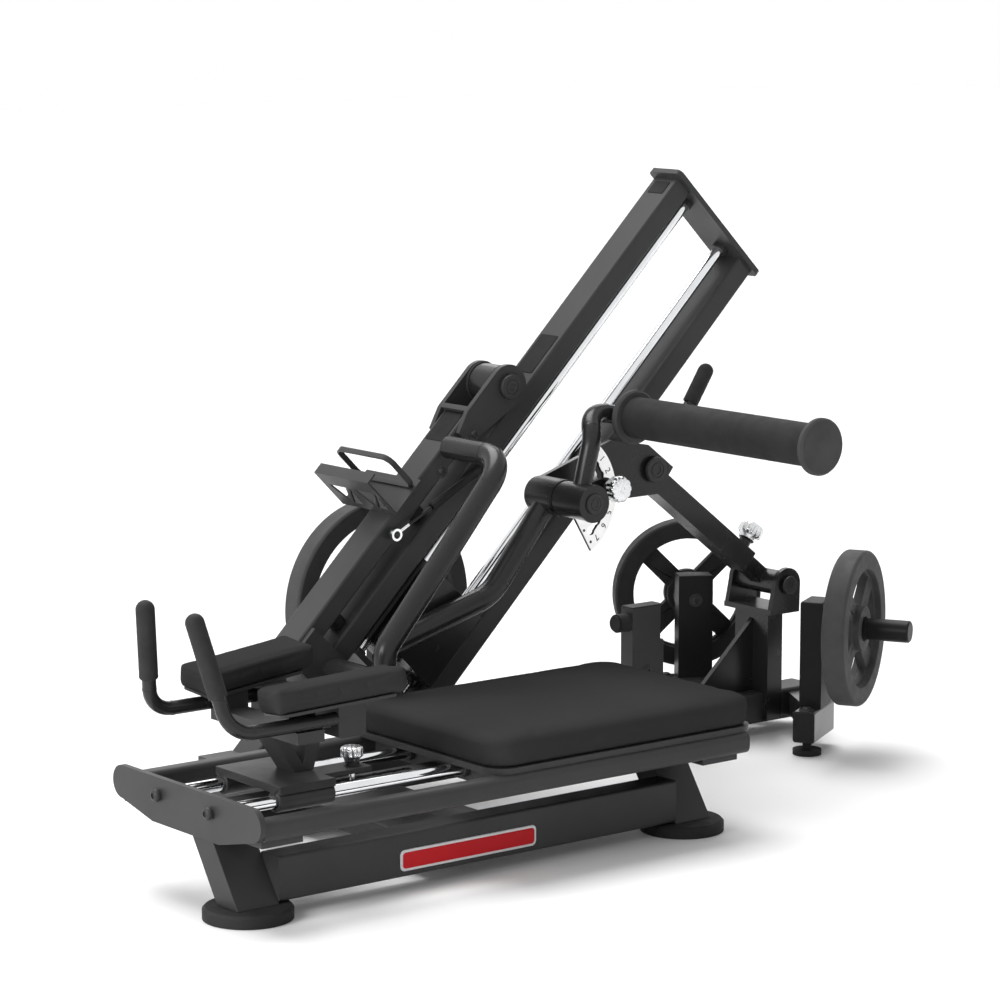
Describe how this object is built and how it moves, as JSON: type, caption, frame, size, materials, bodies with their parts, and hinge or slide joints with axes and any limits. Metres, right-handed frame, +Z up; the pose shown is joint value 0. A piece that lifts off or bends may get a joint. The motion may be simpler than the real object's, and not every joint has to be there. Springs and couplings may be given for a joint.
{
  "type": "hip thrust machine",
  "caption": "Low padded bench beside an inclined beam tower; a plate-loaded sled on chrome rods lifts a foam hip roller on an arm set by a numbered dial.",
  "frame": {"origin": "middle of the underside of the bench's rear disc foot, on the floor", "axes": "+X along the bench to the rear, +Y from the bench to the tower, +Z up"},
  "size_m": [2.0722, 1.1479, 1.2912],
  "materials": {
    "black_paint": "satin black powder coat",
    "white_paint": "white powder coat",
    "chrome": "polished",
    "rubber": "matte black rubber and foam",
    "plate_rubber": "rubber-coated",
    "upholstery": "matte black synthetic leather over foam"
  },
  "bodies": {
    "frame": {"base_beam": "black_paint", "front_cross": "black_paint", "front_feet": "rubber", "rear_leg_near": "black_paint", "rear_leg_far": "black_paint", "rear_feet": "rubber", "upright_near": "black_paint", "upright_far": "black_paint", "strut_post": "black_paint", "stop_post": "black_paint", "upper_beam": "black_paint", "lower_beam": "black_paint", "tower_cap": "black_paint", "tower_rods": "chrome", "rod_seat": "black_paint", "pivot_housing": "black_paint", "rubber_bumpers": "rubber", "bench_end_plate": "black_paint", "rail_near": "black_paint", "rail_far": "black_paint", "bench_rods": "chrome", "index_bar": "black_paint", "bench_leg_front": "black_paint", "bench_leg_rear": "black_paint", "disc_feet": "rubber", "low_rail": "black_paint", "cross_member": "black_paint", "seat_board": "black_paint", "seat_pad": "upholstery"},
    "carriage": {"carriage": "black_paint", "pad_frame": "black_paint", "shoulder_pad_near": "upholstery", "shoulder_pad_far": "upholstery", "handle_near": "black_paint", "handle_far": "black_paint", "grip_near": "rubber", "grip_far": "rubber"},
    "carriage_lock": {"carriage_pin": "chrome"},
    "sled": {"sled_block": "black_paint", "sled_horn": "chrome", "thrust_arm": "black_paint", "dial_plate": "white_paint", "strut_lug": "black_paint"},
    "roller_lever": {"roller_arm": "black_paint", "lift_grip": "rubber"},
    "roller": {"roller_foam": "rubber", "roller_caps": "rubber"},
    "dial_lock": {"dial_pin": "chrome"},
    "strut_tube": {"strut_outer": "black_paint"},
    "strut_lock": {"strut_pin": "chrome"},
    "strut_slider": {"strut_inner": "black_paint"},
    "release_lever": {"release_arm": "black_paint", "bent_handle": "black_paint", "holder": "black_paint"},
    "spring_barrel": {"gas_barrel": "black_paint"},
    "spring_rod": {"gas_rod": "chrome"},
    "loaded_plate": {"sled_weight": "plate_rubber"},
    "stored_plate_near": {"stored_weight_near": "plate_rubber"},
    "stored_plate_far": {"stored_weight_far": "plate_rubber"}
  },
  "joints": [
    {"name": "sled_slide", "type": "slide", "parent": "frame", "child": "sled", "axis": [0.7071, 0, 0.7071], "range_m": [0, 0.25]},
    {"name": "dial_adjust", "type": "hinge", "parent": "sled", "child": "roller_lever", "pos_m": [0.04808, 0.39, 0.61943], "axis": [0, -1, 0], "range_deg": [-56, 28]},
    {"name": "roller_spin", "type": "hinge", "parent": "roller_lever", "child": "roller", "pos_m": [0.21, 0.142, 0.782], "axis": [0, 1, 0], "continuous": true},
    {"name": "dial_pin_pull", "type": "slide", "parent": "roller_lever", "child": "dial_lock", "axis": [0, -1, 0], "range_m": [0, 0.012]},
    {"name": "strut_upper_pivot", "type": "hinge", "parent": "sled", "child": "strut_tube", "pos_m": [0.36, 0.57, 0.644], "axis": [0, 1, 0], "range_deg": [-1, 32]},
    {"name": "strut_lower_pivot", "type": "hinge", "parent": "frame", "child": "strut_slider", "pos_m": [0.741, 0.57, 0.349], "axis": [0, 1, 0], "range_deg": [-1, 32]},
    {"name": "strut_pin_pull", "type": "slide", "parent": "strut_tube", "child": "strut_lock", "axis": [0.6122, 0, 0.7907], "range_m": [0, 0.012]},
    {"name": "carriage_slide", "type": "slide", "parent": "frame", "child": "carriage", "axis": [1, 0, 0], "range_m": [-0.05, 0.1]},
    {"name": "carriage_pin_pull", "type": "slide", "parent": "carriage", "child": "carriage_lock", "axis": [0, 0, 1], "range_m": [0, 0.015]},
    {"name": "release_swing", "type": "hinge", "parent": "frame", "child": "release_lever", "pos_m": [-0.03818, 0.57, 0.8556], "axis": [0, 1, 0], "range_deg": [0, 15]},
    {"name": "spring_pivot", "type": "hinge", "parent": "frame", "child": "spring_barrel", "pos_m": [-0.11031, 0.516, 0.68872], "axis": [0, 1, 0], "range_deg": [-2, 30]},
    {"name": "spring_stroke", "type": "slide", "parent": "spring_barrel", "child": "spring_rod", "axis": [-0.8877, 0, -0.4605], "range_m": [-0.002, 0.045]},
    {"name": "loaded_plate_slide", "type": "slide", "parent": "sled", "child": "loaded_plate", "axis": [0, 1, 0], "range_m": [0, 0.12]},
    {"name": "near_plate_slide", "type": "slide", "parent": "frame", "child": "stored_plate_near", "axis": [0.5, -0.866, 0], "range_m": [0, 0.1]},
    {"name": "far_plate_slide", "type": "slide", "parent": "frame", "child": "stored_plate_far", "axis": [0.5, 0.866, 0], "range_m": [0, 0.1]}
  ],
  "couplings": [
    {"joint": "strut_upper_pivot", "follows": "sled_slide", "rad_per_m": 2.0351},
    {"joint": "strut_lower_pivot", "follows": "sled_slide", "rad_per_m": 2.0351},
    {"joint": "spring_pivot", "follows": "release_swing", "ratio": 1.4487},
    {"joint": "spring_stroke", "follows": "release_swing", "m_per_rad": 0.1351}
  ]
}
